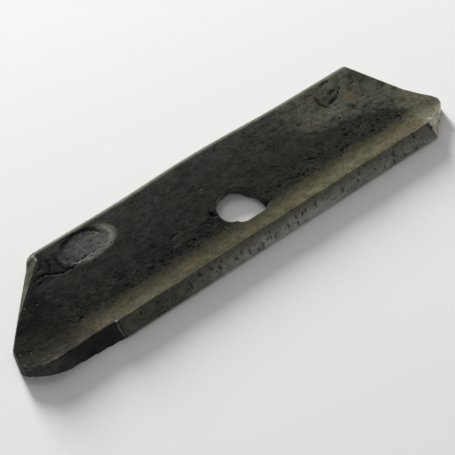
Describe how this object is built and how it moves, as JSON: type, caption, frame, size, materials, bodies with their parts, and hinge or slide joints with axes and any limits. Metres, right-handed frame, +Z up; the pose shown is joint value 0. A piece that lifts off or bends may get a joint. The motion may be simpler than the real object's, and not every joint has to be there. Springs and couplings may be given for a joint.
{
  "type": "plough share",
  "caption": "Flat steel plough share with a pointed toe, a raised and bevelled cutting edge, a D-shaped bolt hole and shallow pressed seats.",
  "frame": {"origin": "centre of the bolt hole on the flat underside", "axes": "+X along the blade to its square heel end, +Y to the straight back edge, +Z up through the plate's thickness"},
  "size_m": [0.2639, 0.0652, 0.0064],
  "materials": {
    "forged_steel": "dark rolling scale with a worn olive-brown rise, grey bevel and light sheared edges"
  },
  "bodies": {
    "root": {"share": "forged_steel"}
  },
  "joints": []
}
